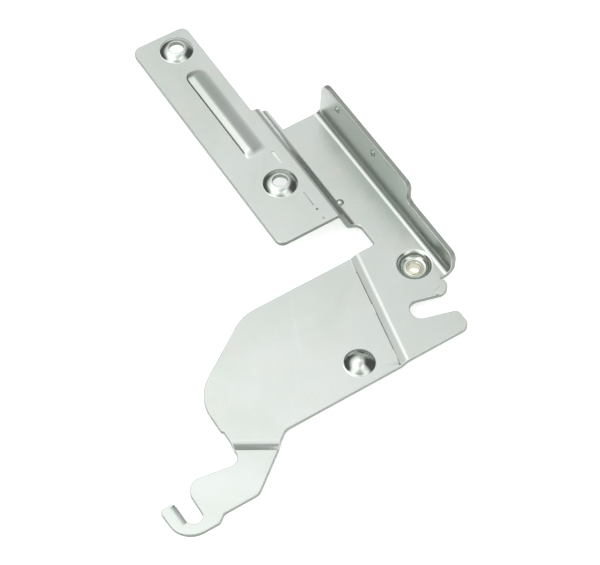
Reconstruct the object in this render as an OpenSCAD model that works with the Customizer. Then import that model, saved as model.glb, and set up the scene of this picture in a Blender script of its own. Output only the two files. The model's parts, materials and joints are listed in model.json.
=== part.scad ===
// Dishwasher door hinge lever, pressed and folded from one steel sheet,
// with a tubular eyelet set in a sunk dimple of its web.
// Millimetres. The origin is in the eyelet's bore, halfway along its
// straight wall. The fold lines run along Y. The door plate lies at +Y and
// -X, the spring hook at -X and -Y, and the flange stands up at +X. Inside
// the modules the web's upper face is height zero, and the last step of
// each sub-part lifts it into the frame.

/* [Sheet] */
// Thickness of the steel sheet
sheet_t = 2; // [1.6:0.1:2.4]
// Inner radius of the flange's bend
bend_r = 2.5; // [1.5:0.25:2.75]

/* [Door plate] */
// Width of the door plate
plate_w = 22; // [20:0.2:26]
// Length of the door plate
plate_l = 100.2; // [94:0.2:112]
// Distance of the plate's near end from the eyelet
plate_y = 24.7; // [22:0.1:28]
// Height of the plate above the web
plate_rise = 10; // [8:0.5:12]
// Run of the step between plate and web
step_w = 7.4; // [7:0.1:9]
// Inner radius of the step's upper bend
step_r1 = 0.9; // [0.5:0.1:1.4]
// Inner radius of the step's lower bend
step_r2 = 2.2; // [1.4:0.1:2.4]

/* [Screw bosses] */
// Distance between the two door screws
screw_gap = 70; // [64:0.5:74]
// Distance of the outer screw from the plate's far end
screw_end = 8.5; // [8:0.1:11]
// Distance of the screw line from the plate's outer edge
screw_side = 13.7; // [12:0.1:14]
// Diameter of the screw holes
screw_d = 5.3; // [4.2:0.1:5.8]
// Diameter of the raised bosses at their foot
boss_d = 12.6; // [11.6:0.1:13.6]
// Height of the raised bosses
boss_h = 1.6; // [1:0.1:1.8]

/* [Rib] */
// Width of the stiffening rib
rib_w = 8.2; // [6:0.1:9]
// Length of the stiffening rib
rib_l = 44.8; // [34:0.2:45]
// Height of the stiffening rib
rib_h = 1.7; // [1:0.1:1.9]

/* [Web and flange] */
// Length of the web beyond the eyelet
web_top = 72.6; // [68:0.2:76]
// Distance of the web's outer edge from the eyelet
web_side = 6.5; // [6:0.1:7.5]
// Distance of the flange's inner face from the eyelet
flange_in = 8.3; // [8:0.1:10]
// Height of the flange above the web
flange_h = 17.1; // [15:0.1:20]
// Height of the flange's lower part
flange_low = 8.8; // [7:0.1:11]
// Place of the step down along the flange
flange_step = 18; // [14:0.5:24]
// Length of the flange on the notch side of the eyelet
flange_end = 9; // [8.5:0.1:9.4]
// Diameter of the two small pierced holes
pierce_d = 1.4; // [1:0.1:2]

/* [Eyelet] */
// Bore of the tubular eyelet
eyelet_d = 4; // [3:0.1:4.4]
// Diameter of the eyelet's rolled lip
lip_d = 6.4; // [6:0.1:7]
// Diameter of the sunk dimple at the web's face
dimple_d = 12.6; // [12:0.1:12.8]
// Depth of the sunk dimple
dimple_h = 2.5; // [2:0.1:2.7]

/* [Pivot notch] */
// Width of the pivot notch
notch_w = 7.4; // [6:0.1:7.6]
// Slope of the pivot notch
notch_a = 16; // [12:0.5:18]
// Place of the notch's round end along X
notch_x = -8.2; // [-10:0.1:-7]
// Place of the notch's round end along Y
notch_y = -15.9; // [-16.6:0.1:-15.8]
// Reach of the lower prong past the eyelet
prong_x = 2; // [1:0.1:4]

/* [Quadrant plate] */
// Near edge of the quadrant plate
quad_top = 14; // [12.8:0.1:15]
// Straight far edge of the quadrant plate
quad_bottom = -30.1; // [-33:0.1:-29.2]
// Reach of the quadrant plate away from the eyelet
quad_side = 87.5; // [84:0.1:92]
// Drop of the quadrant plate below the web
drop_1 = 1.2; // [0.8:0.1:1.8]
// Run of the first offset
drop_1_w = 3.5; // [3:0.1:4]
// Diameter of the blind dome
dome_d = 11; // [9:0.1:12]
// Height of the blind dome
dome_h = 2.6; // [1.8:0.1:3]

/* [Hook arm] */
// Drop of the arm below the quadrant plate
drop_2 = 2.2; // [1.4:0.1:2.4]
// Run of the second offset
drop_2_w = 2.6; // [2.4:0.1:3]
// Width of the hook's mouth
mouth_w = 5.4; // [4.6:0.1:6]
// Depth of the hook's mouth
mouth_l = 7.4; // [6:0.1:8.5]
// Width of the hook's tip
tip_w = 5.3; // [4.5:0.1:6]

/* [Hidden] */
$fn = 96;
t = sheet_t;
over = 1;

// Places that follow from the sizes above
lift = dimple_h + t / 2 + 0.25;
flat_x = -web_side - 1.1;
plate_r = flat_x - step_w - 0.8;
plate_x = plate_r - plate_w;
plate_end = plate_y + plate_l;
screw_x = plate_x + screw_side;
screw_far = plate_end - screw_end;
screw_near = screw_far - screw_gap;
rib_far = screw_far - boss_d / 2 - 4.6;
rib_near = rib_far - min(rib_l, screw_gap - boss_d - 10);
jaw_x = flange_in - bend_r - 0.8;
low_1 = -drop_1;
low_2 = -drop_1 - drop_2;
hook_x = -quad_side - 19.3;
arm_y = quad_bottom - 14.1;
mouth_y = quad_bottom - 10.1 + (mouth_w - 5.4) / 2;

// The first offset's foot line passes through foot_1 and leans by lean_1
foot_1 = [-20.7, -5];
lean_1 = 11.6;
// The second offset's foot line passes through foot_2 and leans by lean_2
foot_2 = [-quad_side + 6.7, quad_bottom - 0.8];
lean_2 = 58.3;

// A step of a sheet falls h over a run w: two bends, whose radii at the
// sheet's upper face come to q, joined by a straight wall
function step_radius(w, h, r) = max(0.1, min(r, ((w * w + h * h - 1) / (2 * h) - t) / 2));
function straight(w, h, q) = sqrt(max(0.25, w * w + h * h - 2 * q * h));
function steep(w, h, q) = atan2(q, straight(w, h, q)) - atan2(q - h, w);

function turn(a, b) = a.x * b.y - a.y * b.x;
function unit(v) = v / norm(v);

// Outline with rounded corners. Each point is [x, y, radius], listed with
// the solid on the left. Round corners are true arcs; a large one is kept
// to its own corner, so that its disc can't cross a narrow arm.
module rounded(pts) {
    n = len(pts);
    v = [for (p = pts) [p.x, p.y]];
    a = [for (i = [0:n - 1]) unit(v[(i + n - 1) % n] - v[i])];
    b = [for (i = [0:n - 1]) unit(v[(i + 1) % n] - v[i])];
    half = [for (i = [0:n - 1]) acos(max(-1, min(1, a[i] * b[i]))) / 2];
    reach = [for (i = [0:n - 1]) pts[i][2] / tan(half[i])];
    mid = [for (i = [0:n - 1]) v[i] + unit(a[i] + b[i]) * pts[i][2] / sin(half[i])];
    convex = [for (i = [0:n - 1]) turn(b[i], a[i]) > 0];
    difference() {
        union() {
            polygon([for (i = [0:n - 1]) for (q = pts[i][2] == 0 ? [v[i]] :
                [v[i] + a[i] * reach[i], v[i] + b[i] * reach[i]]) q]);
            for (i = [0:n - 1]) if (pts[i][2] > 0 && convex[i]) intersection() {
                translate(mid[i]) circle(pts[i][2]);
                if (pts[i][2] > 4) polygon([v[i], v[i] + a[i] * reach[i],
                    v[i] + unit(a[i] + b[i]) * (reach[i] * cos(half[i]) + 0.5), v[i] + b[i] * reach[i]]);
            }
        }
        for (i = [0:n - 1]) if (pts[i][2] > 0 && !convex[i]) {
            translate(mid[i]) circle(pts[i][2]);
        }
    }
}

// Flat outline of the whole blank as seen from above
module blank() {
    u = [cos(notch_a), -sin(notch_a)];
    w = [sin(notch_a), cos(notch_a)];
    h = notch_w / 2;
    c = [notch_x, notch_y];
    n1 = c - w * h + u * (prong_x - c.x + w.x * h) / u.x;
    n4 = c + w * h + u * (jaw_x - c.x - w.x * h) / u.x;
    n2 = c - u * h - w * h;
    n3 = c - u * h + w * h;
    rounded([
        [plate_x, plate_y, 2.8],
        [-web_side, plate_y, 2.8],
        [-web_side, quad_top, 1.3],
        [-quad_side + 28.2, quad_top, 16],
        [-quad_side, quad_top - 19, 15],
        [-quad_side, quad_top - 33.7, 0.4],
        [-quad_side + 0.6, quad_top - 34.3, 0.4],
        [-quad_side + 0.6, quad_bottom - 1.8, 3.4],
        [hook_x + 0.1, quad_bottom + 1.6, 4.8],
        [hook_x, mouth_y - mouth_w / 2, mouth_w / 2 - 0.02],
        [hook_x - mouth_w, mouth_y - mouth_w / 2, mouth_w / 2 - 0.02],
        [hook_x - mouth_w - 0.2, mouth_y + mouth_l, 1.8],
        [hook_x - mouth_w - tip_w - 0.3, mouth_y + mouth_l - 0.2, 1.5],
        [hook_x - mouth_w - tip_w + 0.5, arm_y - 2.1, 8],
        [hook_x + 3.1, arm_y - 2.1, 1.6],
        [hook_x + 6, arm_y, 2],
        [-quad_side - 0.6, arm_y, 4],
        [-quad_side + 17.9, quad_bottom, 5],
        [prong_x, quad_bottom, 2.8],
        [n1.x, n1.y, 1.9],
        [n2.x, n2.y, h - 0.02],
        [n3.x, n3.y, h - 0.02],
        [n4.x, n4.y, 3.6],
        [jaw_x, -flange_end, 0],
        [flange_in + t + over, -flange_end, 0],
        [flange_in + t + over, web_top, 0],
        [-web_side - 0.3, web_top, 0.6],
        [-web_side - 0.5, web_top + 11, 1],
        [flat_x - 2.4, web_top + 10.4, 1.5],
        [flat_x - 5.1, web_top + 6.1, 1],
        [plate_r, web_top + 5.9, 0.9],
        [plate_r, plate_end, 2.8],
        [plate_x, plate_end, 3.4]
    ]);
}

// Section of a sheet that steps down by h over a run w: two opposite bends
// joined by a straight wall. The upper face comes in at height zero along
// -X and the first bend starts at x = 0. Round faces are true arcs: each
// bend's disc is kept by a window to its own side of the sheet.
module step_section(l1, w, h, r1, r2, l2) {
    q = r1 + r2 + t;
    s = straight(w, h, q);
    a = steep(w, h, q);
    n = [sin(a), cos(a)];
    d = [cos(a), -sin(a)] * min(1, s / 2);
    m = [sin(a / 2), cos(a / 2)];
    e = [min(1, s / 2), 0];
    c1 = [0, -t - r1];
    c2 = [w, r2 - h];
    difference() {
        union() {
            polygon([
                [-l1, 0], [0, 0], c1 + n * (r1 + t), c2 - n * r2, [w, -h], [w + l2, -h],
                [w + l2, -h - t], [w, -h - t], c2 - n * (r2 + t), c1 + n * r1, [0, -t], [-l1, -t]]);
            intersection() {
                translate(c1) circle(r1 + t);
                polygon([c1, [0, -t], [0, 0.4] - e, c1 + m * 1.7 * (r1 + t), c1 + n * (r1 + t + 0.4) + d, c1 + n * r1]);
            }
            intersection() {
                translate(c2) circle(r2 + t);
                polygon([c2, [w, -h], [w, -h - t - 0.4] + e, c2 - m * 1.7 * (r2 + t), c2 - n * (r2 + t + 0.4) - d, c2 - n * r2]);
            }
        }
        translate(c1) circle(r1);
        translate(c2) circle(r2);
    }
}

// The same step seen the other way round: the low side comes in along -X
// at height zero and the sheet rises by h over the run w
module rise_section(l1, w, h, r, l2) {
    translate([w, h]) mirror([1, 0]) step_section(l2, w, h, r, r, l1);
}

// A section drawn in X and Z, swept along Y from y0 to y1
module sweep(y0, y1) {
    translate([0, y1, 0]) rotate([90, 0, 0]) linear_extrude(height = y1 - y0) children();
}

// The blank's outline as an upright prism, kept inside a window
module cut_blank() {
    translate([0, 0, -40]) linear_extrude(height = 80) intersection() {
        blank();
        children();
    }
}

// Door plate, step and upper web, bent along Y
module door_zone() {
    intersection() {
        translate([flat_x - step_w, 0, plate_rise]) sweep(quad_top + 5, plate_end + 5)
            step_section(plate_w + 20, step_w, plate_rise, step_r1, step_r2, web_side + jaw_x + 10);
        cut_blank() translate([plate_x - 5, quad_top + 6]) square([jaw_x - plate_x + 4, plate_end + 5]);
    }
}

// Upright flange with its bend, cut to its outline seen from the side
module flange_zone() {
    outer = bend_r + t;
    intersection() {
        translate([0, web_top + over, 0]) rotate([90, 0, 0])
            linear_extrude(height = web_top + flange_end + 2 * over) difference() {
                union() {
                    translate([jaw_x - 3, -t]) square([flange_in - bend_r - jaw_x + 3, t]);
                    translate([flange_in, bend_r]) square([t, flange_h - bend_r + over]);
                    intersection() {
                        translate([flange_in - bend_r, bend_r]) circle(outer);
                        translate([flange_in - bend_r - 1, -t - 1]) square([outer + 2, outer + 1.5]);
                    }
                }
                translate([flange_in - bend_r, bend_r]) circle(bend_r);
                translate([flange_in - bend_r - 2, 0]) square([2, 2 * bend_r]);
                translate([flange_in - bend_r, bend_r]) square([bend_r, bend_r]);
            }
        rotate([90, 0, 90]) linear_extrude(height = 40) rounded([
            [web_top, -t - over, 0],
            [web_top, 0, 0],
            [web_top - 1.2, flange_h, 4.6],
            [flange_step, flange_h, 2.6],
            [flange_step, flange_low, 2],
            [-flange_end, flange_low, 2.8],
            [-flange_end, -t - over, 0]
        ]);
    }
}

// Web, first offset and quadrant plate
module quadrant_zone() {
    w = drop_1_w;
    r = step_radius(w, drop_1, 1.2);
    intersection() {
        translate([foot_1.x, foot_1.y, low_1]) rotate([0, 0, -lean_1])
            sweep(-60, 60) rise_section(110, w, drop_1, r, 60);
        cut_blank() intersection() {
            translate([-120, -60]) square([120 + jaw_x + 0.3, 60 + quad_top + 7.5]);
            translate(foot_2) rotate(lean_2) translate([5, -80]) square([140, 160]);
        }
    }
}

// Second offset and hook arm
module arm_zone() {
    w = drop_2_w;
    r = step_radius(w, drop_2, 0.6);
    intersection() {
        translate([foot_2.x, foot_2.y, low_2]) rotate([0, 0, lean_2])
            sweep(-60, 60) rise_section(70, w, drop_2, r, 30);
        cut_blank() translate(foot_2) rotate(lean_2) translate([-70, -50]) square([77, 100]);
    }
}

// Section under a rounded rise: flat to r_in, then an S of two equal arcs
// down to r_out, rise h
module rise(r_in, r_out, h) {
    w = r_out - r_in;
    k = (w * w + h * h) / (4 * h);
    m = (r_in + r_out) / 2;
    square([m, h / 2]);
    square([r_in, h]);
    intersection() {
        translate([r_in, h - k]) circle(k);
        translate([r_in, h / 2]) square([w / 2, h / 2]);
    }
    difference() {
        translate([m, 0]) square([w / 2, h / 2]);
        translate([r_out, k]) circle(k);
    }
}

// Round cap of height h on a foot of radius r, cut off below depth
module cap(r, h, depth) {
    k = (r * r + h * h) / (2 * h);
    intersection() {
        translate([0, h - k]) circle(k);
        translate([0, -depth]) square([k, h + depth]);
    }
}

module at_screws() {
    for (y = [screw_near, screw_far]) translate([screw_x, y, plate_rise]) children();
}

// Rib section across its width: the outer arc, or the inner one t below it
module rib_arc(inner) {
    r = rib_w / 2;
    k = (r * r + rib_h * rib_h) / (2 * rib_h);
    intersection() {
        translate([0, rib_h - k]) circle(k - (inner ? t : 0));
        translate([-r, inner ? -t - over : 0]) square([2 * r, rib_h + t + over]);
    }
}

// Rib with a round far end and a sloping square near end
module rib(inner) {
    r = rib_w / 2;
    k = (r * r + rib_h * rib_h) / (2 * rib_h);
    in = inner ? t : 0;
    translate([screw_x, 0, plate_rise]) difference() {
        union() {
            sweep(rib_near, rib_far - r) rib_arc(inner);
            translate([0, rib_far - r, rib_h - k]) intersection() {
                sphere(k - in);
                translate([-r, -0.01, k - rib_h - (inner ? t + over : 0)]) cube([2 * r, 2 * r, 4 * k]);
            }
        }
        translate([-r - over, rib_near + in * 0.7, inner ? -t : 0]) rotate([50, 0, 0])
            translate([0, -3, 0]) cube([2 * r + 2 * over, 3, 8]);
        if (inner) translate([-r - over, rib_near - over, -2 * t - over]) cube([2 * r + 2 * over, over + t * 0.7, 2 * t + over]);
    }
}

// Raised and sunk shapes that the press forms in the flat sheet
module raised() {
    at_screws() rotate_extrude() rise(screw_d / 2 + 1, boss_d / 2, boss_h);
    rib(false);
    translate([-36.5, -22.1, low_1]) rotate_extrude() cap(dome_d / 2, dome_h, 0);
    translate([0, 0, -t]) mirror([0, 0, 1]) rotate_extrude() rise(dimple_d / 2 - 2.5, dimple_d / 2 + 0.3, dimple_h);
    for (y = [web_top - 11, web_top - 33.5]) translate([flange_in - 0.4, y, flange_h - 5])
        rotate([0, 90, 0]) cylinder(r = pierce_d / 2 + 0.6, h = 0.6);
    translate([flat_x + 0.4, plate_y + 10.2, -0.2]) sphere(1.4);
}

module sunk() {
    k = (dome_d * dome_d / 4 + dome_h * dome_h) / (2 * dome_h);
    at_screws() translate([0, 0, -t]) rotate_extrude()
        rise(screw_d / 2 + 0.3, boss_d / 2 - 0.8, boss_h);
    at_screws() translate([0, 0, -t - over]) cylinder(d = screw_d, h = t + boss_h + 2 * over);
    rib(true);
    translate([-36.5, -22.1, low_1]) rotate_extrude() intersection() {
        translate([0, dome_h - k]) circle(k - t);
        translate([0, -t - over]) square([k, dome_h + t + over]);
    }
    mirror([0, 0, 1]) rotate_extrude() rise(dimple_d / 2 - 2.75, dimple_d / 2, dimple_h);
    cylinder(d = dimple_d, h = 0.4);
    translate([0, 0, -t - dimple_h - over]) cylinder(d = eyelet_d + 1.1, h = t + 2 * over);
    for (y = [web_top - 11, web_top - 33.5]) translate([flange_in - 1, y, flange_h - 5])
        rotate([0, 90, 0]) cylinder(d = pierce_d, h = t + 2);
}

// Small traces of the press: relief at the flange's end, bending marks on
// the plate, a broken groove at the first offset's foot, thinned edges at
// the notch's jaw and at the hook's tip
module traces() {
    translate([jaw_x, -flange_end - 0.6, -t - over]) cylinder(r = 0.7, h = t + 2 * over);
    for (m = [[28.8, 5.9, 1], [8, 6.2, 0.4], [5.6, 0.8, 0.8], [1.4, 0.8, 0.8]])
        translate([plate_r - 3.9, plate_y + m[0], plate_rise - 0.2]) cube([m[2], m[1], 1]);
    for (g = [[0, 13.8], [-19.1, -4], [-25.2, -23.1]])
        translate([foot_1.x, foot_1.y, low_1 - 0.25]) rotate([0, 0, -lean_1])
            translate([-0.1, g[0], 0]) cube([0.4, g[1] - g[0], 1]);
    translate([0, 0, -0.3]) linear_extrude(height = 1) polygon([
        [jaw_x - 0.4, -flange_end + 0.5], [jaw_x - 3, notch_y + 4.1], [jaw_x - 5.6, notch_y + 3.2],
        [jaw_x - 7, notch_y - 2], [jaw_x + 1, notch_y - 4], [jaw_x + 1, -flange_end + 0.5]]);
    translate([hook_x - mouth_w - 2, mouth_y - 1, low_2]) rotate([0, 17, 3])
        cube([4, mouth_l, 3]);
}

module lever() {
    color([0.72, 0.76, 0.73]) translate([0, 0, lift]) difference() {
        union() {
            door_zone();
            flange_zone();
            quadrant_zone();
            arm_zone();
            raised();
        }
        sunk();
        traces();
    }
}

// Tubular eyelet: bore, wall, rolled lip above and flat foot below
module eyelet() {
    floor_z = -dimple_h;
    foot_z = floor_z - t;
    r = eyelet_d / 2;
    lip = (lip_d - eyelet_d) / 4;
    color([0.8, 0.79, 0.68]) translate([0, 0, lift]) rotate_extrude() {
        translate([r, foot_z - 0.5]) square([0.5, t + 0.5]);
        translate([r, foot_z - 0.5]) square([1.3, 0.5]);
        intersection() {
            translate([r + lip, floor_z]) circle(lip);
            translate([r, floor_z]) square([2 * lip, lip]);
        }
    }
}

lever();
eyelet();
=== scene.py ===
# %% [markdown]
# # A dishwasher door hinge in zinc-plated sheet steel
# The real part is one flat blank, pressed and folded in a die, with one small
# eyelet set into it. So the scene has two pieces: the pressed lever and the
# eyelet. Nothing on it moves, and both ride on the one body, root.

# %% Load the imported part
import json
import math
import bmesh
import bpy
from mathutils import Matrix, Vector
from mathutils.bvhtree import BVHTree
from mathutils.geometry import delaunay_2d_cdt


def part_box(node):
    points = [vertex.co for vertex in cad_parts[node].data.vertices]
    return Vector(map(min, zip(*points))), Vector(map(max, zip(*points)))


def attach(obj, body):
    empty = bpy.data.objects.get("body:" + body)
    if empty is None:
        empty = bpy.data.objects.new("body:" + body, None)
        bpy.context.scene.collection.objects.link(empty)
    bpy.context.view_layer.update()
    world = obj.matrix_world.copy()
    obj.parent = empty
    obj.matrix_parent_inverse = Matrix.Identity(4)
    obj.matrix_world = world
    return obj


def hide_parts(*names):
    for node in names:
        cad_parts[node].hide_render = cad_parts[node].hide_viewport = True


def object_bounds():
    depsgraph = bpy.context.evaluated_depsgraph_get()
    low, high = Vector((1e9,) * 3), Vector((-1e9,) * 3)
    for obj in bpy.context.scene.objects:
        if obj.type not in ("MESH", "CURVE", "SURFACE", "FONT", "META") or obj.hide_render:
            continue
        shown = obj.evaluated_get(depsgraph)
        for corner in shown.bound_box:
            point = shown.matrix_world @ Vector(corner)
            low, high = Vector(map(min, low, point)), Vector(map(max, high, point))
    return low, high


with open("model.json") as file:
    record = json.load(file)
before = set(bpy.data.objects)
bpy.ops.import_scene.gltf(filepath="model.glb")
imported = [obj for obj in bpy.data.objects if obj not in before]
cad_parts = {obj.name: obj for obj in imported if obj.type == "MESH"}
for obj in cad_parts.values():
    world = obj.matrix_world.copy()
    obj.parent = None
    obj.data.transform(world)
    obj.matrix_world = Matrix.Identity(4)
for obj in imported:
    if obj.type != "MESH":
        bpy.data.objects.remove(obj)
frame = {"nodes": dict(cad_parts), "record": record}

MM = 0.001
cad_low, cad_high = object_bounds()
print("CAD box in mm:", [round(v / MM, 2) for v in (*cad_low, *cad_high)])

# %% [markdown]
# ## Camera
# The photograph looks down at 56 degrees from the horizontal, turned 32.2
# degrees about the vertical, through a long lens. A camera can be placed by
# hand, but here it is set from the point it looks at, its distance and its two
# angles, so that each of them can be changed by itself.

# %% Place the camera
LOOK_AT = Vector((-36.45, 14.21, 3.75)) * MM
VIEW_DISTANCE = 633.33 * MM
VIEW_ELEVATION = math.radians(56.0)
VIEW_TURN = math.radians(-32.2)
SENSOR_WIDTH = 36.0
LENS = 114.0

view_tilt = math.pi / 2 - VIEW_ELEVATION
looking = Vector((-math.sin(VIEW_TURN) * math.sin(view_tilt),
                  math.cos(VIEW_TURN) * math.sin(view_tilt),
                  -math.cos(view_tilt)))
camera_data = bpy.data.cameras.new("photo_camera")
camera_data.lens = LENS
camera_data.sensor_width = SENSOR_WIDTH
camera = bpy.data.objects.new("photo_camera", camera_data)
camera.location = LOOK_AT - looking * VIEW_DISTANCE
camera.rotation_euler = (view_tilt, 0.0, VIEW_TURN)
bpy.context.collection.objects.link(camera)
bpy.context.scene.camera = camera
print("camera at", [round(v, 4) for v in camera.location])

# %% [markdown]
# ## A helper for node trees
# Light, finishes and the eyelet are all made of nodes. One helper adds a node,
# sets it up and joins its inputs, so that each tree below reads as a recipe.

# %% A small helper that adds nodes
def put(tree, kind, inputs=None, **settings):
    """Add a node, set its plain settings, and fill its input sockets."""
    made = tree.nodes.new(kind)
    for name, value in settings.items():
        setattr(made, name, value)
    for name, value in (inputs or {}).items():
        if isinstance(value, bpy.types.NodeSocket):
            tree.links.new(value, made.inputs[name])
        else:
            made.inputs[name].default_value = value
    return made

# %% [markdown]
# ## Floor and light
# The part lies on a plain white table. Plated metal shows its surroundings, so
# the room matters more than the lamps. The dome is a small round mirror, so the
# photograph itself tells what the room was: a long pale panel overhead that
# reaches further to the left than to the right, two tall soft lights behind the
# camera with a pale wall between them, and dim walls elsewhere. Right overhead
# the panel is dimmer, so that flat metal isn't lost against the table when it
# is seen from above. Panels could be hung one by one, but their edges would show
# in the metal. Here the world's own nodes make the same room.

# %% Lay the floor
FLOOR_SIZE = 6.0
FLOOR_GLOW = 0.5
FLOOR_GAP = 0.02 * MM
FLOOR_PAINT = (0.86, 0.86, 0.86, 1.0)

half = FLOOR_SIZE / 2
floor_z = cad_low[2] - FLOOR_GAP
floor_mesh = bpy.data.meshes.new("floor")
floor_mesh.from_pydata([(-half, -half, floor_z), (half, -half, floor_z),
                        (half, half, floor_z), (-half, half, floor_z)],
                       [], [(0, 1, 2, 3)])
floor = bpy.data.objects.new("floor", floor_mesh)
bpy.context.collection.objects.link(floor)
floor_paint = bpy.data.materials.new("white_table")
floor_paint.use_nodes = True
table_shader = floor_paint.node_tree.nodes["Principled BSDF"]
table_shader.inputs["Base Color"].default_value = FLOOR_PAINT
table_shader.inputs["Roughness"].default_value = 0.9
table_shader.inputs["Specular IOR Level"].default_value = 0.0
table_shader.inputs["Emission Color"].default_value = (1.0, 1.0, 1.0, 1.0)
table_shader.inputs["Emission Strength"].default_value = FLOOR_GLOW
floor_mesh.materials.append(floor_paint)

# %% Start the room's light
ROOM_SHOWN = 0.95
WALLS = 0.11

world = bpy.data.worlds.new("studio_room")
bpy.context.scene.world = world
world.use_nodes = True
room = world.node_tree
way = put(room, "ShaderNodeTexCoord").outputs["Generated"]


def heading(turn, height):
    """The way to a place turn degrees right of the far side, height degrees up."""
    compass = VIEW_TURN - math.radians(turn)
    rise = math.radians(height)
    return (-math.sin(compass) * math.cos(rise),
            math.cos(compass) * math.cos(rise), math.sin(rise))


def eased(value, start, end, low, high):
    """low up to start, high from end on, and a soft change between."""
    return put(room, "ShaderNodeMapRange",
               {"Value": value, "From Min": start, "From Max": end,
                "To Min": low, "To Max": high},
               interpolation_type="SMOOTHSTEP").outputs[0]


def towards(direction):
    """1 where a ray leaves straight towards direction, less away from it."""
    return put(room, "ShaderNodeVectorMath", {0: way, 1: direction},
               operation="DOT_PRODUCT").outputs["Value"]


def combined(operation, *parts):
    """Multiply or add up any number of parts of the light."""
    total = parts[0]
    for part in parts[1:]:
        total = put(room, "ShaderNodeMath", {0: total, 1: part},
                    operation=operation).outputs[0]
    return total


def beside(turn):
    """How far a way points off the upright plane through a heading."""
    return put(room, "ShaderNodeMath", {0: towards(heading(turn + 90, 0))},
               operation="ABSOLUTE").outputs[0]


def soft_lamp(turn, height, core, rim, brightness):
    """A round soft light: full inside core degrees, gone past rim degrees."""
    return eased(towards(heading(turn, height)), math.cos(math.radians(rim)),
                 math.cos(math.radians(core)), 0.0, brightness)


def tall_lamp(turn, brightness):
    """A tall soft light that stands on the floor and leans in overhead."""
    return combined("MULTIPLY",
                    eased(beside(turn), 0.1, 0.45, brightness, 0.0),
                    eased(towards(heading(turn, 0)), 0.12, 0.4, 0.0, 1.0),
                    eased(up, -0.1, 0.12, 0.0, 1.0))


# %% Light the room
up = towards((0.0, 0.0, 1.0))
ceiling = combined("ADD", eased(up, 0.42, 0.82, 0.0, 0.98),
                   eased(up, 0.78, 1.0, 0.0, 1.5))
right_end = eased(towards(heading(90, 0)), 0.24, 0.55, 1.0, 0.0)
left_end = eased(towards(heading(-90, 0)), 0.58, 0.9, 1.0, 0.0)
far_half = eased(towards(heading(0, 0)), -0.5, 0.0, 0.25, 1.0)
left_side = eased(towards(heading(-90, 0)), -0.16, 0.14, 0.66, 1.3)
overhead = eased(up, 0.9, 1.0, 1.0, 0.45)
panel = combined("MULTIPLY", ceiling, right_end, left_end, far_half, left_side,
                 overhead)
near_wall = eased(towards(heading(180, 0)), 0.25, 0.65, 0.0, 0.42)
light = combined("ADD", panel, WALLS, near_wall, soft_lamp(12, 6, 14, 44, 0.5),
                 tall_lamp(-134, 1.05), tall_lamp(130, 1.05))
seen = put(room, "ShaderNodeMix", data_type="FLOAT")
seen.inputs[3].default_value = ROOM_SHOWN
room.links.new(put(room, "ShaderNodeLightPath").outputs["Is Camera Ray"],
               seen.inputs[0])
room.links.new(light, seen.inputs[2])
room.nodes["Background"].inputs["Color"].default_value = (1, 1, 1, 1)
room.links.new(seen.outputs[0], room.nodes["Background"].inputs["Strength"])
bpy.context.scene.view_settings.view_transform = "Standard"
print("room lit from", len([n for n in room.nodes
                            if n.type == "MAP_RANGE"]), "soft parts")

# %% [markdown]
# ## Shared effects for the finishes
# Three effects turn up on every plated surface: slow drifts of colour in the
# zinc, the fine grain of the rolled sheet that shows through it, and light rub
# marks from handling. Each could be drawn again in every material, but as a
# shader node group with named inputs it is built once and set per material.

# %% Two more helpers for shader trees
def blend_colours(tree, share, first, second):
    """A colour mix node: share 0 gives the first colour, 1 the second."""
    made = put(tree, "ShaderNodeMix", data_type="RGBA")
    colour_in = [s for s in made.inputs if s.type == "RGBA"]
    for socket, value in ((made.inputs[0], share), (colour_in[0], first),
                          (colour_in[1], second)):
        if isinstance(value, bpy.types.NodeSocket):
            tree.links.new(value, socket)
        else:
            socket.default_value = value
    return [s for s in made.outputs if s.type == "RGBA"][0]


def new_group(name, inputs, outputs):
    """A shader node group with named float, vector or colour sockets."""
    kinds = {"f": "NodeSocketFloat", "v": "NodeSocketVector",
             "c": "NodeSocketColor"}
    group = bpy.data.node_groups.new(name, "ShaderNodeTree")
    for label, kind, value in inputs:
        made = group.interface.new_socket(
            label, in_out="INPUT", socket_type=kinds[kind])
        if value is not None:
            made.default_value = value
    for label, kind in outputs:
        group.interface.new_socket(
            label, in_out="OUTPUT", socket_type=kinds[kind])
    return group, put(group, "NodeGroupInput"), put(group, "NodeGroupOutput")


# %% Colour drift in the zinc
tint_group, t_in, t_out = new_group(
    "plating_tint",
    [("Place", "v", None), ("Patch size", "f", 0.03), ("Amount", "f", 1.0),
     ("Zinc", "c", (0.7, 0.72, 0.71, 1)), ("Green film", "c", (0.6, 0.66, 0.6, 1)),
     ("Warm film", "c", (0.72, 0.7, 0.66, 1))],
    [("Colour", "c")])
patches = put(tint_group, "ShaderNodeMath",
              {0: 1.0, 1: t_in.outputs["Patch size"]}, operation="DIVIDE")
wide_drift = put(tint_group, "ShaderNodeTexNoise",
                 {"Vector": t_in.outputs["Place"], "Scale": patches.outputs[0],
                  "Detail": 3.0, "Roughness": 0.55, "Distortion": 0.6})
small_patches = put(tint_group, "ShaderNodeMath",
                    {0: patches.outputs[0], 1: 3.7}, operation="MULTIPLY")
small_drift = put(tint_group, "ShaderNodeTexNoise",
                  {"Vector": t_in.outputs["Place"],
                   "Scale": small_patches.outputs[0],
                   "Detail": 5.0, "Roughness": 0.6})
green_share = put(tint_group, "ShaderNodeMapRange",
                  {"Value": wide_drift.outputs[0], "From Min": 0.35,
                   "From Max": 0.7, "To Max": t_in.outputs["Amount"]})
warm_share = put(tint_group, "ShaderNodeMapRange",
                 {"Value": small_drift.outputs[0], "From Min": 0.5,
                  "From Max": 0.8, "To Max": t_in.outputs["Amount"]})
greened = blend_colours(tint_group, green_share.outputs[0],
                        t_in.outputs["Zinc"], t_in.outputs["Green film"])
warmed = blend_colours(tint_group, warm_share.outputs[0],
                       greened, t_in.outputs["Warm film"])
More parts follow.
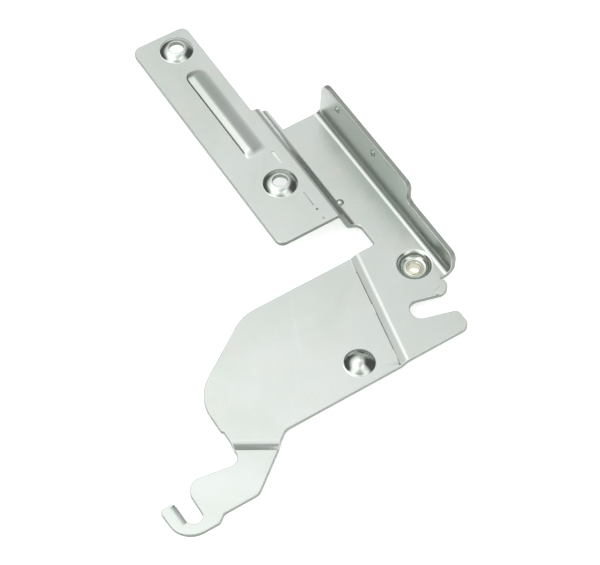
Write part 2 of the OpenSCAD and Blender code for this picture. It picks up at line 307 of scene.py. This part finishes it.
tint_group.links.new(warmed, t_out.inputs["Colour"])

# %% Grain of the rolled sheet
grain_group, g_in, g_out = new_group(
    "rolled_grain",
    [("Place", "v", None), ("Grain width", "f", 0.0002),
     ("Grain length", "f", 0.004), ("Speckle size", "f", 0.00035)],
    [("Height", "f"), ("Dullness", "f")])
across = put(grain_group, "ShaderNodeMath",
             {0: 1.0, 1: g_in.outputs["Grain width"]}, operation="DIVIDE")
along = put(grain_group, "ShaderNodeMath",
            {0: 1.0, 1: g_in.outputs["Grain length"]}, operation="DIVIDE")
stretch = put(grain_group, "ShaderNodeCombineXYZ",
              {"X": across.outputs[0], "Y": along.outputs[0],
               "Z": across.outputs[0]})
drawn_out = put(grain_group, "ShaderNodeVectorMath",
                {0: g_in.outputs["Place"], 1: stretch.outputs[0]},
                operation="MULTIPLY")
streaks = put(grain_group, "ShaderNodeTexNoise",
              {"Vector": drawn_out.outputs[0], "Scale": 1.0, "Detail": 2.0,
               "Roughness": 0.6})
specks = put(grain_group, "ShaderNodeMath",
             {0: 1.0, 1: g_in.outputs["Speckle size"]}, operation="DIVIDE")
spangle = put(grain_group, "ShaderNodeTexNoise",
              {"Vector": g_in.outputs["Place"], "Scale": specks.outputs[0],
               "Detail": 3.0, "Roughness": 0.7})
grain_height = put(grain_group, "ShaderNodeMath",
                   {0: streaks.outputs[0], 1: spangle.outputs[0]},
                   operation="ADD")
dull_share = put(grain_group, "ShaderNodeMapRange",
                 {"Value": spangle.outputs[0], "From Min": 0.3,
                  "From Max": 0.7})
grain_group.links.new(grain_height.outputs[0], g_out.inputs["Height"])
grain_group.links.new(dull_share.outputs[0], g_out.inputs["Dullness"])

# %% Rub marks from handling
rub_group, r_in, r_out = new_group(
    "rub_marks",
    [("Place", "v", None), ("Mark spacing", "f", 0.02), ("Share", "f", 0.5)],
    [("Mask", "f")])
marks = put(rub_group, "ShaderNodeMath",
            {0: 1.0, 1: r_in.outputs["Mark spacing"]}, operation="DIVIDE")
turned = put(rub_group, "ShaderNodeMapping",
             {"Vector": r_in.outputs["Place"],
              "Rotation": (0.3, 0.2, math.radians(37)),
              "Scale": (1.0, 0.16, 1.0)})
scratch_cells = put(rub_group, "ShaderNodeTexVoronoi",
                    {"Vector": turned.outputs[0], "Scale": marks.outputs[0]},
                    feature="DISTANCE_TO_EDGE")
thin_line = put(rub_group, "ShaderNodeMapRange",
                {"Value": scratch_cells.outputs["Distance"], "From Min": 0.0,
                 "From Max": 0.012, "To Min": 1.0, "To Max": 0.0})
here_and_there = put(rub_group, "ShaderNodeTexNoise",
                     {"Vector": r_in.outputs["Place"],
                      "Scale": marks.outputs[0], "Detail": 4.0})
broken = put(rub_group, "ShaderNodeMapRange",
             {"Value": here_and_there.outputs[0], "From Min": 0.5,
              "From Max": 0.62, "To Max": r_in.outputs["Share"]})
rub_mask = put(rub_group, "ShaderNodeMath",
               {0: thin_line.outputs[0], 1: broken.outputs[0]},
               operation="MULTIPLY")
rub_group.links.new(rub_mask.outputs[0], r_out.inputs["Mask"])

# %% [markdown]
# ## The finishes
# Zinc plating over steel is a metal with a thin, slightly green passive film.
# The flat faces are satin. The sheared edge, where the punch tore through the
# sheet, is duller and rougher. The rolled-over rim between the two is rubbed
# bright, and where the die stretched the sheet over a boss or a dome it left a
# polish. One recipe with different values makes all four, and a fifth, yellower
# set of values is the eyelet's.

# %% The recipe for a plated finish
def plated(name, zinc, green, warm, roughness, patch, grain, bump, rubbed):
    """A metal whose colour drifts with the plating and whose gloss and relief
    follow the grain. roughness and grain are pairs of values."""
    material = bpy.data.materials.new(name)
    material.use_nodes = True
    tree = material.node_tree
    shader = tree.nodes["Principled BSDF"]
    place = put(tree, "ShaderNodeTexCoord").outputs["Object"]
    tint = put(tree, "ShaderNodeGroup", node_tree=tint_group)
    grained = put(tree, "ShaderNodeGroup", node_tree=grain_group)
    marked = put(tree, "ShaderNodeGroup", node_tree=rub_group)
    for each in (tint, grained, marked):
        tree.links.new(place, each.inputs["Place"])
    tint.inputs["Patch size"].default_value = patch
    tint.inputs["Zinc"].default_value = (*zinc, 1)
    tint.inputs["Green film"].default_value = (*green, 1)
    tint.inputs["Warm film"].default_value = (*warm, 1)
    grained.inputs["Grain width"].default_value = grain[0]
    grained.inputs["Grain length"].default_value = grain[1]
    marked.inputs["Share"].default_value = rubbed
    bright = tuple(min(1.0, c * 1.15) for c in zinc)
    colour = blend_colours(tree, marked.outputs["Mask"],
                           tint.outputs["Colour"], (*bright, 1))
    gloss = put(tree, "ShaderNodeMapRange",
                {"Value": grained.outputs["Dullness"],
                 "To Min": roughness[0], "To Max": roughness[1]})
    rubbed_gloss = put(tree, "ShaderNodeMath",
                       {0: marked.outputs["Mask"], 1: -0.12,
                        2: gloss.outputs[0]}, operation="MULTIPLY_ADD")
    relief = put(tree, "ShaderNodeBump",
                 {"Height": grained.outputs["Height"], "Strength": bump,
                  "Distance": 0.00002})
    tree.links.new(colour, shader.inputs["Base Color"])
    tree.links.new(rubbed_gloss.outputs[0], shader.inputs["Roughness"])
    tree.links.new(relief.outputs["Normal"], shader.inputs["Normal"])
    shader.inputs["Metallic"].default_value = 1.0
    return material


# %% Mix the five finishes
zinc_sheet = plated("zinc_plated_sheet", (0.565, 0.595, 0.573), (0.505, 0.55, 0.51),
                    (0.57, 0.575, 0.53), (0.26, 0.36), 0.035, (0.0003, 0.006),
                    0.2, 0.12)
press_polished = plated("press_polished", (0.57, 0.61, 0.58), (0.5, 0.56, 0.51),
                        (0.58, 0.59, 0.54), (0.11, 0.17), 0.01,
                        (0.0002, 0.002), 0.12, 0.12)
sheared_edge = plated("sheared_edge", (0.33, 0.36, 0.33), (0.28, 0.32, 0.28),
                      (0.33, 0.33, 0.29), (0.4, 0.6), 0.008, (0.0002, 0.0002),
                      0.6, 0.1)
rolled_rim = plated("rolled_rim", (0.6, 0.64, 0.61), (0.54, 0.59, 0.55),
                    (0.6, 0.61, 0.57), (0.22, 0.36), 0.012, (0.0003, 0.002),
                    0.25, 0.3)
eyelet_plating = plated("eyelet_plating", (0.66, 0.65, 0.55), (0.58, 0.6, 0.48),
                        (0.68, 0.65, 0.54), (0.2, 0.34), 0.004,
                        (0.0002, 0.001), 0.2, 0.3)
print("finishes:", [m.name for m in (zinc_sheet, press_polished, sheared_edge,
                                     rolled_rim, eyelet_plating)])

# %% [markdown]
# ## The pressed lever
# The lever is one piece of 2 mm sheet. Its solid already has every fold, joggle,
# boss and rib, but its corners are knife sharp. A blanking punch draws the rim
# of the sheet over a little before it shears, so the real edges are soft. A copy
# of the solid is merged, its cut faces are told from its sheet faces, and only
# the corners between the two get a small bevel. To tell them apart, a ray is
# sent inwards from every face: behind a sheet face it meets the other side after
# one thickness, and behind a cut face it runs on through the metal.

# %% Merge a copy of the solid
SHEET = 2.0 * MM
ROLLOVER = 0.25 * MM

solid = frame["nodes"]["lever"]
lever_mesh = solid.data.copy()
lever_mesh.name = "pressed_lever"
lever_mesh.materials.clear()
for finish in (zinc_sheet, sheared_edge, rolled_rim, press_polished):
    lever_mesh.materials.append(finish)
skin = bmesh.new()
skin.from_mesh(lever_mesh)
bmesh.ops.remove_doubles(skin, verts=skin.verts, dist=0.002 * MM)
print("merged copy:", len(skin.verts), "points,", len(skin.faces), "faces,",
      sum(not e.is_manifold for e in skin.edges), "open edges")

# %% [markdown]
# ## Press the bosses again
# In the photograph each screw boss has a narrow flat lip round its hole, a round
# shoulder and a crisp foot. The solid's boss has a plainer section, but its
# points lie in neat rings. So nothing is added or cut: each ring slides to its
# own place on the new section, and the hole below it stays as it is. The pip
# beside the step and the thinned edge at the notch's jaw are fainter in the
# photograph than in the solid, so their points move in the same way.

# %% Read where the bosses are
screws = next(m for m in frame["record"]["mounts"] if m["name"] == "door_screws")
screw_middle = Vector(screws["pos_m"][:2])
half_way = Vector((0, screws["dims"]["spacing_y_mm"] / 2)) * MM
boss_places = [screw_middle + half_way, screw_middle - half_way]
hole_radius = screws["dims"]["hole_r_mm"] * MM
BOSS_REACH = 6.4 * MM
RING_GAP = 0.06 * MM


def boss_rings(middle):
    """The top points of a boss, ring by ring from the hole outwards."""
    points = sorted((v for v in skin.verts
                     if (v.co.xy - middle).length < BOSS_REACH
                     and v.co.z > plate_top - 0.01 * MM),
                    key=lambda v: (v.co.xy - middle).length)
    rings = [[points[0]]]
    for before, point in zip(points, points[1:]):
        step_out = ((point.co.xy - middle).length
                    - (before.co.xy - middle).length)
        if step_out > RING_GAP:
            rings.append([])
        rings[-1].append(point)
    return rings


# %% Slide the rings to the new section
LIP_ROUND = 0.15 * MM
LIP_OUTER = 3.0 * MM
BOSS_FOOT = 6.05 * MM
LIP_SLOPE = math.radians(8)
levels = [v.co.z for v in skin.verts
          if (v.co.xy - boss_places[0]).length < BOSS_REACH]
boss_top = max(levels)
plate_top = min(z for z in levels if z > boss_top - SHEET + 0.1 * MM)
boss_height = boss_top - plate_top
shoulder_run = BOSS_FOOT - LIP_OUTER
foot_slope = 2 * math.atan2(boss_height, shoulder_run) - LIP_SLOPE
shoulder = shoulder_run / (math.sin(foot_slope) - math.sin(LIP_SLOPE))


def boss_section(count):
    """Radius and height of each ring: hole edge, lip, round shoulder, foot."""
    edge = math.radians(45)
    yield hole_radius, boss_top - LIP_ROUND
    yield (hole_radius + LIP_ROUND * (1 - math.cos(edge)),
           boss_top - LIP_ROUND * (1 - math.sin(edge)))
    yield hole_radius + LIP_ROUND, boss_top
    steps = count - 5
    for k in range(steps + 1):
        slope = LIP_SLOPE + (foot_slope - LIP_SLOPE) * k / steps
        yield (LIP_OUTER + shoulder * (math.sin(slope) - math.sin(LIP_SLOPE)),
               boss_top - shoulder * (math.cos(LIP_SLOPE) - math.cos(slope)))


for middle in boss_places:
    rings = boss_rings(middle)
    for ring, (radius, height) in zip(rings, boss_section(len(rings))):
        for point in ring:
            out = (point.co.xy - middle).normalized()
            point.co = (*(middle + out * radius), height)
    print("boss:", len(rings), "rings of", {len(r) for r in rings}, "points,",
          "%.2f mm high, shoulder radius %.2f mm, foot at %.0f degrees"
          % (boss_height / MM, shoulder / MM, math.degrees(foot_slope)))

# %% Lower the small pip beside the step
PIP_PLACE = Vector((-7.2, 34.9)) * MM
PIP_REACH = 1.5 * MM
PIP_SHARE = 0.5


def on_pip(point):
    return (point.co.xy - PIP_PLACE).length < PIP_REACH


pip_points = [v for v in skin.verts if on_pip(v)]
web_top = min(v.co.z for v in pip_points)
own_points = [v for v in pip_points
              if all(on_pip(w) for f in v.link_faces for w in f.verts)]
for point in own_points:
    point.co.z = web_top + (point.co.z - web_top) * PIP_SHARE
skin.normal_update()
print("pip: %d of %d points lowered, web top at %.2f mm" % (
    len(own_points), len(pip_points), web_top / MM))

# %% Raise the thinned edge at the notch's jaw
JAW_PLACE = Vector((2.4, -11.6)) * MM
JAW_REACH = 5.0 * MM
JAW_CUT = 0.3 * MM
JAW_STEP = 0.1 * MM
thinned = [v for v in skin.verts
           if (v.co.xy - JAW_PLACE).length < JAW_REACH
           and abs(v.co.z - web_top + JAW_CUT) < 0.01 * MM]
for point in thinned:
    point.co.z = web_top - JAW_STEP
skin.normal_update()
print("jaw:", len(thinned), "points raised")

# %% Tell cut faces from sheet faces
SHEET_FACE, CUT_FACE, RIM_FACE, PRESSED_FACE = 0, 1, 2, 3

inside = BVHTree.FromBMesh(skin)
skin.faces.ensure_lookup_table()
for face in skin.faces:
    start = face.calc_center_median() - face.normal * 0.001 * MM
    hit = inside.ray_cast(start, -face.normal)
    deep = hit[0] is None or hit[3] > 1.3 * SHEET
    face.material_index = CUT_FACE if deep else SHEET_FACE


def in_screw_hole(face):
    """True for the upright wall of a screw hole. Behind it the sheet is hollow,
    so a ray alone would take half of its triangles for sheet."""
    return any(all(abs((v.co.xy - place).length - hole_radius) < 0.02 * MM
                   for v in face.verts) for place in boss_places)


for face in skin.faces:
    if in_screw_hole(face):
        face.material_index = CUT_FACE


def cut_runs(faces):
    """Groups of cut faces that touch along an edge."""
    left = {f for f in faces if f.material_index == CUT_FACE}
    while left:
        run, edge_of_run = set(), [left.pop()]
        while edge_of_run:
            face = edge_of_run.pop()
            run.add(face)
            for edge in face.edges:
                for other in edge.link_faces:
                    if other in left:
                        left.remove(other)
                        edge_of_run.append(other)
        yield run


FEWEST_CUT_FACES = 40
SHORTEST_MARK = 2.0 * MM
kept_runs = 0
for run in cut_runs(skin.faces):
    corners = [v.co for f in run for v in f.verts]
    spans = [max(c[i] for c in corners) - min(c[i] for c in corners)
             for i in range(3)]
    small_patch = min(spans) > 0.5 * SHEET and len(run) < FEWEST_CUT_FACES
    if small_patch or max(spans) < SHORTEST_MARK:
        for face in run:
            face.material_index = SHEET_FACE
    else:
        kept_runs += 1
        print("run of", len(run), "cut faces, box in mm:",
              [round(min(c[i] for c in corners) / MM, 1) for i in range(3)],
              [round(max(c[i] for c in corners) / MM, 1) for i in range(3)])
print("runs of cut edge:", kept_runs)

# %% Find the bumps that the die polished
DOME_PLACE = Vector((-36.5, -22.1)) * MM
DOME_REACH = 5.6 * MM
bumps = [(DOME_PLACE, DOME_REACH), (Vector((0, 0)), BOSS_REACH)]
bumps += [(place, BOSS_REACH) for place in boss_places]
polished = 0
for face in skin.faces:
    for middle, reach in bumps:
        if face.material_index == SHEET_FACE and face.normal.z > 0 and all(
                (v.co.xy - middle).length < reach for v in face.verts):
            face.material_index = PRESSED_FACE
            polished += 1
print("polished faces:", polished)

# %% Merge the flat faces
bmesh.ops.dissolve_limit(skin, angle_limit=math.radians(0.4),
                         verts=skin.verts, edges=skin.edges,
                         delimit={"MATERIAL"})
print("after merging flats:", len(skin.faces), "faces")

# %% [markdown]
# ## Press the rib again
# The stiffening rib reads in the photograph as a low, lopsided ridge: a short
# steep flank along its left foot, which shows as one thin dark line, a pale
# crest, and a long soft slope to the right. Sculpting could do that, but its
# height follows a rule, because it depends only on how far a point lies from
# each side. So the old surface is taken out, its outline stays, and a fine mesh
# whose points rise by the rule fills the gap.

# %% A helper that presses a new surface into an outline
def press_again(faces, inner_points, height, keep, finish):
    """Fill the outline of faces anew. inner_points are places in plan, height
    gives the level at a place, and keep says which places belong to it."""
    chosen = set(faces)
    rim = [e for e in {e for f in chosen for e in f.edges}
           if sum(f in chosen for f in e.link_faces) == 1]
    rim_points = list({v for e in rim for v in e.verts})
    number = {v: i for i, v in enumerate(rim_points)}
    plan = [v.co.xy for v in rim_points] + list(inner_points)
    joined = [[number[v] for v in e.verts] for e in rim]
    found, _, triangles, from_points, _, _ = delaunay_2d_cdt(
        plan, joined, [], 0, 1e-9)
    bmesh.ops.delete(skin, geom=list(chosen), context="FACES")
    points = []
    for place, sources in zip(found, from_points):
        old = [i for i in sources if i < len(rim_points)]
        points.append(rim_points[old[0]] if old else
                      skin.verts.new((*place, height(place))))
    made = 0
    for corners in triangles:
        if keep(sum((found[i] for i in corners), Vector((0, 0))) / 3):
            new = skin.faces.new([points[i] for i in corners])
            new.normal_update()
            if new.normal.z < 0:
                new.normal_flip()
            new.material_index = finish
            made += 1
    for point in points:
        if not point.link_faces:
            skin.verts.remove(point)
    return made


# %% Take the rib's sizes from the solid
RIB_HALF = 4.1 * MM
rib_x = screw_middle.x
between = (boss_places[1].y + BOSS_REACH, boss_places[0].y - BOSS_REACH)
rib_faces = [f for f in skin.faces
             if max(v.co.z for v in f.verts) > plate_top + 0.01 * MM
             and all(abs(v.co.x - rib_x) < 1.2 * RIB_HALF
                     and between[0] < v.co.y < between[1] for v in f.verts)]
rib_points = {v for f in rib_faces for v in f.verts}
rib_low = min(v.co.y for v in rib_points)
rib_high = max(v.co.y for v in rib_points)
solid_rib_height = max(v.co.z for v in rib_points) - plate_top
round_middle = Vector((rib_x, rib_high - RIB_HALF))
print("rib of the solid: %.1f mm long, %.2f mm high" % (
    (rib_high - rib_low) / MM, solid_rib_height / MM))

# %% Say how high the rib is at a place
RIB_HEIGHT = 1.0 * MM
STEEP_SHARE = 0.42
STEEP_RUN = 0.6 * MM
CREST_RUN = 3.2 * MM
SOFT_RUN = 6.4 * MM
NEAR_END_RUN = 3.6 * MM
FAR_END_RUN = 3.0 * MM


def eased_rise(distance, run):
    """0 at a foot, 1 once distance has passed run, level at both."""
    share = min(max(distance / run, 0.0), 1.0)
    return share * share * (3 - 2 * share)


def inside_rib(place):
    """How far a place lies inside the rib's outline; negative outside."""
    if place.y > round_middle.y:
        return RIB_HALF - (place - round_middle).length
    return min(RIB_HALF - abs(place.x - rib_x), place.y - rib_low)


def rib_surface(place):
    """Steep from the left foot, soft to the right one and to both ends."""
    half_width = RIB_HALF
    if place.y > round_middle.y:
        half_width = math.sqrt(max(
            RIB_HALF ** 2 - (place.y - round_middle.y) ** 2, 0.0))
    from_left = place.x - rib_x + half_width
    from_right = rib_x + half_width - place.x
    left = (STEEP_SHARE * eased_rise(from_left, STEEP_RUN)
            + (1 - STEEP_SHARE) * eased_rise(from_left, CREST_RUN))
    right = eased_rise(from_right, SOFT_RUN)
    ends = (eased_rise(place.y - rib_low, NEAR_END_RUN)
            * eased_rise(rib_high - place.y, FAR_END_RUN))
    return plate_top + RIB_HEIGHT * left * right * ends


# %% Press the rib
FIRST_LINE = 0.1 * MM
LINE_GROWTH = 1.22
ALONG_STEP = 0.55 * MM


def rib_line(inset):
    """Points along a line that runs inside the rib's outline by inset."""
    half_width = RIB_HALF - inset
    near = rib_low + inset
    run = round_middle.y - near
    for k in range(round(run / ALONG_STEP)):
        y = near + run * k / round(run / ALONG_STEP)
        yield Vector((rib_x - half_width, y))
        yield Vector((rib_x + half_width, y))
    across = max(2, round(2 * half_width / ALONG_STEP))
    for k in range(1, across):
        yield Vector((rib_x - half_width + 2 * half_width * k / across, near))
    around = max(3, round(math.pi * half_width / ALONG_STEP))
    for k in range(around + 1):
        turn = math.pi * k / around
        yield round_middle + half_width * Vector((math.cos(turn),
                                                  math.sin(turn)))


rib_spots = []
inset, gap = FIRST_LINE, FIRST_LINE
while inset < RIB_HALF - 0.2 * MM:
    rib_spots += rib_line(inset)
    gap = min(gap * LINE_GROWTH, 0.5 * MM)
    inset += gap
print("new rib: %.2f mm high, %d points, %d faces" % (
    RIB_HEIGHT / MM, len(rib_spots), press_again(
        rib_faces, rib_spots, rib_surface, lambda p: inside_rib(p) > 0,
        SHEET_FACE)))

# %% Bring the hollow under the rib down with it
plate_under = plate_top - SHEET
for point in skin.verts:
    if (abs(point.co.x - rib_x) < RIB_HALF and rib_low < point.co.y < rib_high
            and plate_under + 0.01 * MM < point.co.z < plate_top - 0.01 * MM):
        point.co.z = plate_under + ((point.co.z - plate_under)
                                    * RIB_HEIGHT / solid_rib_height)

# %% Mark the corners to soften
def wall_height(wall, edge):
    """How far a cut face reaches from one of its edges."""
    foot, run = edge.verts[0].co, edge.verts[1].co - edge.verts[0].co
    run.normalize()
    return max(((v.co - foot) - run * (v.co - foot).dot(run)).length
               for v in wall.verts)


soften = skin.edges.layers.float.new("bevel_weight_edge")
corner_length = 0.0
for edge in skin.edges:
    if len(edge.link_faces) == 2:
        walls = [f for f in edge.link_faces if f.material_index == CUT_FACE]
        corner = (len(walls) == 1
                  and edge.calc_face_angle() > math.radians(40)
                  and wall_height(walls[0], edge) > 0.5 * SHEET)
        if corner:
            edge[soften] = 1.0
            corner_length += edge.calc_length()
print("corner to soften: %.0f mm, open edges: %d" % (
    corner_length / MM, sum(not e.is_manifold for e in skin.edges)))
skin.to_mesh(lever_mesh)
skin.free()

# %% Soften the corners
lever = bpy.data.objects.new("pressed_lever", lever_mesh)
bpy.context.collection.objects.link(lever)
rollover = lever.modifiers.new("rollover", "BEVEL")
rollover.limit_method = "WEIGHT"
rollover.width = ROLLOVER
rollover.segments = 3
rollover.use_clamp_overlap = False
rollover.loop_slide = False
rollover.miter_outer = "MITER_ARC"
rollover.material = RIM_FACE


def applied_mesh(piece):
    """Apply a piece's modifiers for good."""
    shape = bpy.data.meshes.new_from_object(
        piece.evaluated_get(bpy.context.evaluated_depsgraph_get()))
    piece.modifiers.clear()
    piece.data = shape
    return shape


def finished_mesh(piece, crease=38.0):
    """Apply the modifiers, then shade smooth but for creases, with normals that
    lean on the larger faces, so that flat faces stay flat to the light."""
    shape = applied_mesh(piece)
    shape.shade_smooth()
    shape.set_sharp_from_angle(angle=math.radians(crease))
    leaning = piece.modifiers.new("leaning_normals", "WEIGHTED_NORMAL")
    leaning.mode = "FACE_AREA"
    leaning.weight = 100
    leaning.keep_sharp = True
    return applied_mesh(piece)


soft_mesh = finished_mesh(lever)
print("pressed lever:", len(soft_mesh.polygons), "faces")

# %% Put the lever in the solid's place
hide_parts("lever")
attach(lever, "root")

# %% [markdown]
# ## The eyelet
# An eyelet is a short tube, turned over at both ends. Its section is the same
# all the way round, so it follows a rule: one outline turned about an axis. A
# Geometry Nodes tree makes a grid, one way the points of the outline and the
# other way the turn, and moves every point to its place. Its radii and heights
# are named inputs, so the same tree would turn another eyelet.

# %% Name the eyelet's sizes
eyelet_low, eyelet_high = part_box("eyelet")
BORE = 2.0 * MM
TUBE = 2.5 * MM
BEAD = 0.4 * MM
SIZES = {
    "Bore radius": BORE,
    "Tube radius": TUBE,
    "Bead radius": BEAD,
    "Collar radius": 3.2 * MM,
    "Foot radius": eyelet_high[0],
    "Bead centre height": eyelet_high[2] - BEAD,
    "Seat height": eyelet_low[2] + 0.5 * MM + SHEET,
    "Sheet underside": eyelet_low[2] + 0.5 * MM,
    "Foot bottom": eyelet_low[2],
}
SIZES["Foot radius"] = min(SIZES["Foot radius"], BORE + 1.3 * MM)
BEAD_POINTS = 13
TURN_POINTS = 97
print("eyelet sizes in mm:", {k: round(v / MM, 3) for k, v in SIZES.items()})

# %% Build the turning tree
turning = bpy.data.node_groups.new("turned_eyelet", "GeometryNodeTree")
turning.interface.new_socket("Geometry", in_out="OUTPUT",
                             socket_type="NodeSocketGeometry")
size_ids = {}
for label in SIZES:
    made = turning.interface.new_socket(label, in_out="INPUT",
                                        socket_type="NodeSocketFloat")
    size_ids[label] = made.identifier
finish_in = turning.interface.new_socket("Finish", in_out="INPUT",
                                         socket_type="NodeSocketMaterial")
sizes = put(turning, "NodeGroupInput").outputs


def maths(operation, *values):
    """One math node of the turning tree; gives its result."""
    return put(turning, "ShaderNodeMath", dict(enumerate(values)),
               operation=operation).outputs[0]


def corner(radius, height):
    """A corner of the outline: distance from the axis, and height."""
    return put(turning, "ShaderNodeCombineXYZ",
               {"X": radius, "Z": height}).outputs[0]


bead_middle = maths("ADD", sizes["Bore radius"], sizes["Bead radius"])
corners = [corner(sizes["Collar radius"], sizes["Bead centre height"]),
           corner(sizes["Collar radius"], sizes["Seat height"]),
           corner(sizes["Tube radius"], sizes["Seat height"]),
           corner(sizes["Tube radius"], sizes["Sheet underside"]),
           corner(sizes["Foot radius"], sizes["Sheet underside"]),
           corner(sizes["Foot radius"], sizes["Foot bottom"]),
           corner(sizes["Bore radius"], sizes["Foot bottom"])]
outline_points = BEAD_POINTS + len(corners)
grid = put(turning, "GeometryNodeMeshGrid",
           {"Size X": 1.0, "Size Y": 1.0, "Vertices X": outline_points + 1,
            "Vertices Y": TURN_POINTS})
spot = put(turning, "ShaderNodeSeparateXYZ",
           {0: put(turning, "GeometryNodeInputPosition").outputs[0]})
step = maths("ROUND", maths("MULTIPLY", maths("ADD", spot.outputs["X"], 0.5),
                            float(outline_points)))
step = maths("MODULO", step, float(outline_points))
turn = maths("MULTIPLY", maths("ADD", spot.outputs["Y"], 0.5), math.tau)

# %% Shape the outline and turn it
bead_angle = maths("SUBTRACT", math.pi,
                   maths("MULTIPLY", step, math.pi / (BEAD_POINTS - 1)))
bead_point = corner(
    maths("MULTIPLY_ADD", maths("COSINE", bead_angle), sizes["Bead radius"],
          bead_middle),
    maths("MULTIPLY_ADD", maths("SINE", bead_angle), sizes["Bead radius"],
          sizes["Bead centre height"]))
chosen = put(turning, "GeometryNodeIndexSwitch", data_type="VECTOR")
while len(chosen.index_switch_items) < len(corners):
    chosen.index_switch_items.new()
turning.links.new(maths("SUBTRACT", step, float(BEAD_POINTS)), chosen.inputs[0])
for place, point in enumerate(corners):
    turning.links.new(point, chosen.inputs[place + 1])
past_bead = put(turning, "FunctionNodeCompare", data_type="FLOAT",
                operation="GREATER_THAN")
turning.links.new(step, past_bead.inputs[0])
past_bead.inputs[1].default_value = BEAD_POINTS - 0.5
outline = put(turning, "GeometryNodeSwitch", {
    "Switch": past_bead.outputs[0], "False": bead_point,
    "True": chosen.outputs[0]}, input_type="VECTOR")
flat = put(turning, "ShaderNodeSeparateXYZ", {0: outline.outputs[0]})
turned_spot = put(turning, "ShaderNodeCombineXYZ", {
    "X": maths("MULTIPLY", flat.outputs["X"], maths("COSINE", turn)),
    "Y": maths("MULTIPLY", flat.outputs["X"], maths("SINE", turn)),
    "Z": flat.outputs["Z"]})
placed = put(turning, "GeometryNodeSetPosition", {
    "Geometry": grid.outputs["Mesh"], "Position": turned_spot.outputs[0]})
closed = put(turning, "GeometryNodeMergeByDistance", {
    "Geometry": placed.outputs[0], "Distance": 0.001 * MM})
real = put(turning, "GeometryNodeRealizeInstances", {0: closed.outputs[0]})
plated_mesh = put(turning, "GeometryNodeSetMaterial", {
    "Geometry": real.outputs[0], "Material": sizes["Finish"]})
put(turning, "NodeGroupOutput", {"Geometry": plated_mesh.outputs[0]})

# %% Turn the eyelet
eyelet = bpy.data.objects.new("eyelet_ring", bpy.data.meshes.new("eyelet_ring"))
bpy.context.collection.objects.link(eyelet)
lathe = eyelet.modifiers.new("turning", "NODES")
lathe.node_group = turning
for label, value in SIZES.items():
    lathe[size_ids[label]] = value
lathe[finish_in.identifier] = eyelet_plating
rounding = eyelet.modifiers.new("rounding", "BEVEL")
rounding.width = 0.08 * MM
rounding.segments = 2
rounding.angle_limit = math.radians(50)
ring_mesh = finished_mesh(eyelet)
check = bmesh.new()
check.from_mesh(ring_mesh)
if check.calc_volume(signed=True) < 0:
    bmesh.ops.reverse_faces(check, faces=check.faces)
    check.to_mesh(ring_mesh)
print("eyelet: %d faces, %.1f mm3, %d open edges" % (
    len(check.faces), abs(check.calc_volume()) / MM ** 3,
    sum(not e.is_manifold for e in check.edges)))
check.free()

# %% Put the eyelet in the solid's place
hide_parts("eyelet")
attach(eyelet, "root")
